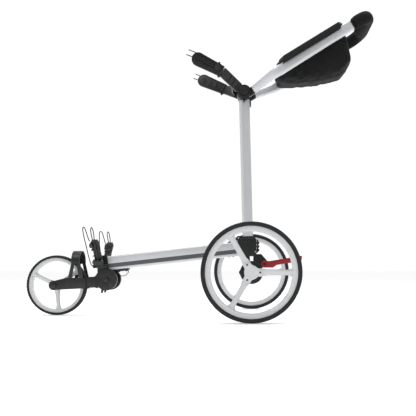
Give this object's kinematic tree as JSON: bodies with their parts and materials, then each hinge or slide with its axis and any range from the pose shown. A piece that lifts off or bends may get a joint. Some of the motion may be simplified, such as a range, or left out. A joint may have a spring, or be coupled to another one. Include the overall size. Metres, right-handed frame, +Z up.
{
  "type": "golf push trolley",
  "caption": "Folding three-wheel golf push trolley with two bag cradles, a console with pouch, a looped foam grip and a foot brake.",
  "frame": {"origin": "on the ground under the middle of the trolley's overall length and width", "axes": "+X to the rear, where the handle is; +Y to the trolley's right seen from behind the handle looking forward along -X; +Z up"},
  "size_m": [1.1732, 0.62, 1.0118],
  "materials": {
    "silver_tube": "satin silver-white paint",
    "silver_plastic": "satin silver-white moulded nylon",
    "black_nylon": "glass-filled nylon, fine grain, slight sheen",
    "dark_nylon": "satin dark grey moulded nylon",
    "inlay": "matte dark insert",
    "steel": "plain turned steel",
    "dark_steel": "black coated steel",
    "tyre": "dark grey foam-filled tread rubber",
    "rubber": "soft grey rubber",
    "foam": "black foam grip, fine closed cells",
    "fabric": "matte black woven fabric",
    "elastic": "black braided elastic",
    "red": "satin red moulded nylon"
  },
  "bodies": {
    "frame": {"main_tube": "silver_tube", "tube_inlays": "inlay", "front_bracket": "black_nylon", "catch_plate": "black_nylon", "fork_pivot_pin": "dark_steel", "rear_block": "black_nylon", "axle_bracket": "black_nylon", "axle_beam": "silver_tube", "axle_housings": "black_nylon", "axle_shafts": "steel", "hinge_pins": "steel", "frame_screws": "dark_steel"},
    "column": {"column_tube": "silver_tube", "column_foot": "black_nylon", "head_left": "black_nylon", "head_right": "black_nylon", "head_pin": "steel", "head_caps": "dark_nylon"},
    "handle": {"knuckle_left": "black_nylon", "knuckle_right": "black_nylon", "handle_tube_left": "silver_tube", "handle_tube_right": "silver_tube", "console_tray": "black_nylon", "grip_core": "dark_nylon", "grip_foam": "foam", "pouch": "fabric"},
    "lid": {"console_lid": "dark_nylon"},
    "upper_cradle": {"upper_base": "black_nylon", "upper_wing_left": "dark_nylon", "upper_wing_right": "dark_nylon", "upper_cord_left": "elastic", "upper_cord_right": "elastic"},
    "lower_wing_l": {"lower_wing_left": "black_nylon", "lower_cord_left": "elastic", "lower_loop_left": "elastic"},
    "lower_wing_r": {"lower_wing_right": "black_nylon", "lower_cord_right": "elastic", "lower_loop_right": "elastic"},
    "fork": {"fork_left": "dark_nylon", "fork_right": "dark_nylon", "front_axle": "steel", "base_rest": "dark_nylon"},
    "release": {"fork_release": "black_nylon"},
    "pedal": {"brake_pedal": "red"},
    "pin_l": {"brake_pin_left": "steel"},
    "pin_r": {"brake_pin_right": "steel"},
    "bail": {"catch_bail": "dark_steel"},
    "latch": {"column_latch": "black_nylon"},
    "rear_wheel_l": {"rear_tyre_left": "tyre", "rear_rim_left": "silver_plastic", "rear_hub_left": "silver_plastic", "brake_ring_left": "black_nylon"},
    "rear_wheel_r": {"rear_tyre_right": "tyre", "rear_rim_right": "silver_plastic", "rear_hub_right": "silver_plastic", "brake_ring_right": "black_nylon"},
    "front_wheel": {"front_tyre": "tyre", "front_rim": "silver_plastic", "front_hub": "steel"}
  },
  "joints": [
    {"name": "column_fold", "type": "hinge", "parent": "frame", "child": "column", "pos_m": [0.13564, 0, 0.26216], "axis": [0, -1, 0], "range_deg": [0, 94]},
    {"name": "handle_fold", "type": "hinge", "parent": "column", "child": "handle", "pos_m": [0.1552, 0, 0.753], "axis": [0, 1, 0], "range_deg": [0, 106], "deforming": ["pouch"]},
    {"name": "lid_hinge", "type": "hinge", "parent": "handle", "child": "lid", "pos_m": [0.26646, 0, 0.83173], "axis": [0, -1, 0], "range_deg": [0, 75]},
    {"name": "upper_cradle_fold", "type": "hinge", "parent": "column", "child": "upper_cradle", "pos_m": [0.1552, 0, 0.753], "axis": [0, 1, 0], "range_deg": [0, 50]},
    {"name": "lower_wing_left_fold", "type": "hinge", "parent": "frame", "child": "lower_wing_l", "pos_m": [0, -0.036, 0.167], "axis": [1, 0, 0], "range_deg": [0, 50]},
    {"name": "lower_wing_right_fold", "type": "hinge", "parent": "frame", "child": "lower_wing_r", "pos_m": [0, 0.036, 0.167], "axis": [-1, 0, 0], "range_deg": [0, 50]},
    {"name": "fork_fold", "type": "hinge", "parent": "frame", "child": "fork", "pos_m": [-0.309, 0, 0.122], "axis": [0, -1, 0], "range_deg": [0, 136]},
    {"name": "fork_release_press", "type": "hinge", "parent": "fork", "child": "release", "pos_m": [-0.323, 0, 0.09], "axis": [0, -1, 0], "range_deg": [0, 15], "stiffness_Nm_per_rad": 0.2},
    {"name": "brake_pedal_press", "type": "hinge", "parent": "frame", "child": "pedal", "pos_m": [0.224, 0, 0.174], "axis": [0, 1, 0], "range_deg": [0, 22]},
    {"name": "brake_pin_left_slide", "type": "slide", "parent": "frame", "child": "pin_l", "axis": [0, -1, 0], "range_m": [0, 0.01]},
    {"name": "brake_pin_right_slide", "type": "slide", "parent": "frame", "child": "pin_r", "axis": [0, 1, 0], "range_m": [0, 0.01]},
    {"name": "bail_swing", "type": "hinge", "parent": "frame", "child": "bail", "pos_m": [-0.30166, 0, 0.14669], "axis": [0.9938, 0, 0.1115], "range_deg": [-70, 70]},
    {"name": "latch_pull", "type": "hinge", "parent": "frame", "child": "latch", "pos_m": [0.1935, 0, 0.216], "axis": [0, 1, 0], "range_deg": [0, 14], "stiffness_Nm_per_rad": 0.6},
    {"name": "rear_wheel_left_spin", "type": "hinge", "parent": "frame", "child": "rear_wheel_l", "pos_m": [0.18, -0.2925, 0.1475], "axis": [0, 1, 0], "continuous": true},
    {"name": "rear_wheel_right_spin", "type": "hinge", "parent": "frame", "child": "rear_wheel_r", "pos_m": [0.18, 0.2925, 0.1475], "axis": [0, 1, 0], "continuous": true},
    {"name": "front_wheel_spin", "type": "hinge", "parent": "fork", "child": "front_wheel", "pos_m": [-0.484, 0, 0.102], "axis": [0, 1, 0], "continuous": true}
  ],
  "couplings": [
    {"joint": "brake_pin_left_slide", "follows": "brake_pedal_press", "m_per_rad": 0.026043},
    {"joint": "brake_pin_right_slide", "follows": "brake_pedal_press", "m_per_rad": 0.026043}
  ]
}
